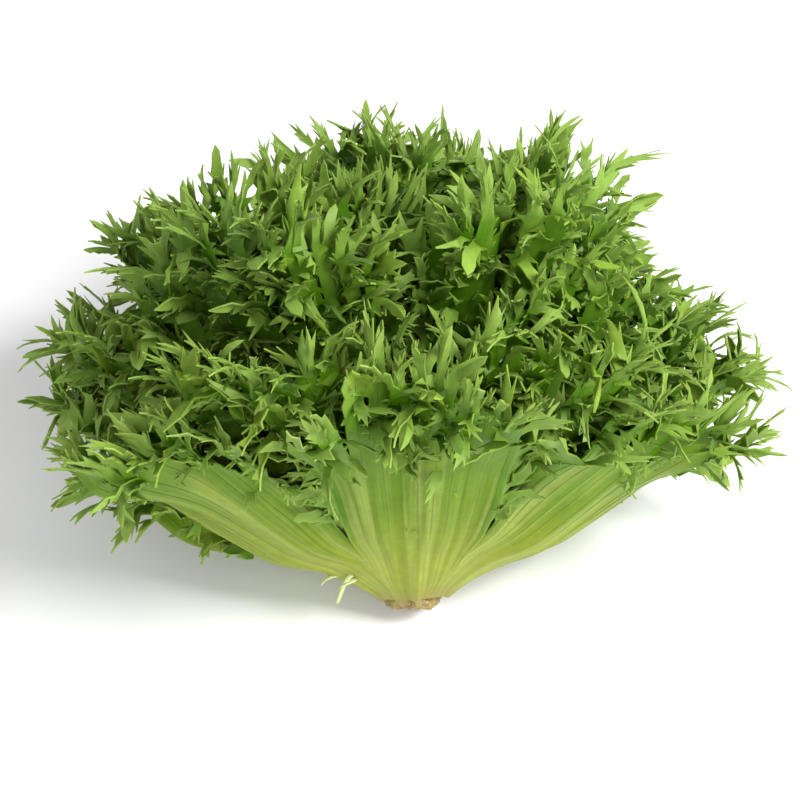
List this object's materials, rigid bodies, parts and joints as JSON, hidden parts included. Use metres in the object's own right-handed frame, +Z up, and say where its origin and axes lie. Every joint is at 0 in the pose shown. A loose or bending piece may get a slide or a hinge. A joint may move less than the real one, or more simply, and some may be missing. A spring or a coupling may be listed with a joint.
{
  "type": "head of lettuce",
  "caption": "Head of frilled lettuce lying on its side: a short cut stem with rings of lobed, ruffled leaves that fan out from it.",
  "frame": {"origin": "on the surface that the head lies on, on the flat underside of the lowest leaf, below the middle of the head", "axes": "+X across the fan of leaves, to the right seen from the stem's end; +Y away from the stem's end; +Z up"},
  "size_m": [0.2987, 0.227, 0.1972],
  "materials": {
    "stem": "moist pale stem, browned on its cut face",
    "leaf_outer": "fresh waxy leaf: pale ribbed stalk, mid-green frilled edge",
    "leaf_middle": "fresh waxy leaf, deep green with lighter edges",
    "leaf_heart": "young waxy leaf, yellow-green"
  },
  "bodies": {
    "root": {"stem": "stem", "outer_leaf_1": "leaf_outer", "outer_leaf_2": "leaf_outer", "outer_leaf_3": "leaf_outer", "outer_leaf_4": "leaf_outer", "outer_leaf_5": "leaf_outer", "outer_leaf_6": "leaf_outer", "outer_leaf_7": "leaf_outer", "outer_leaf_8": "leaf_outer", "middle_leaf_1": "leaf_middle", "middle_leaf_2": "leaf_middle", "middle_leaf_3": "leaf_middle", "middle_leaf_4": "leaf_middle", "middle_leaf_5": "leaf_middle", "middle_leaf_6": "leaf_middle", "middle_leaf_7": "leaf_middle", "middle_leaf_8": "leaf_middle", "middle_leaf_9": "leaf_middle", "middle_leaf_10": "leaf_middle", "middle_leaf_11": "leaf_middle", "heart_leaf_1": "leaf_heart", "heart_leaf_2": "leaf_heart", "heart_leaf_3": "leaf_heart", "heart_leaf_4": "leaf_heart", "heart_leaf_5": "leaf_heart", "heart_leaf_6": "leaf_heart", "heart_leaf_7": "leaf_heart", "heart_leaf_8": "leaf_heart"}
  },
  "joints": []
}
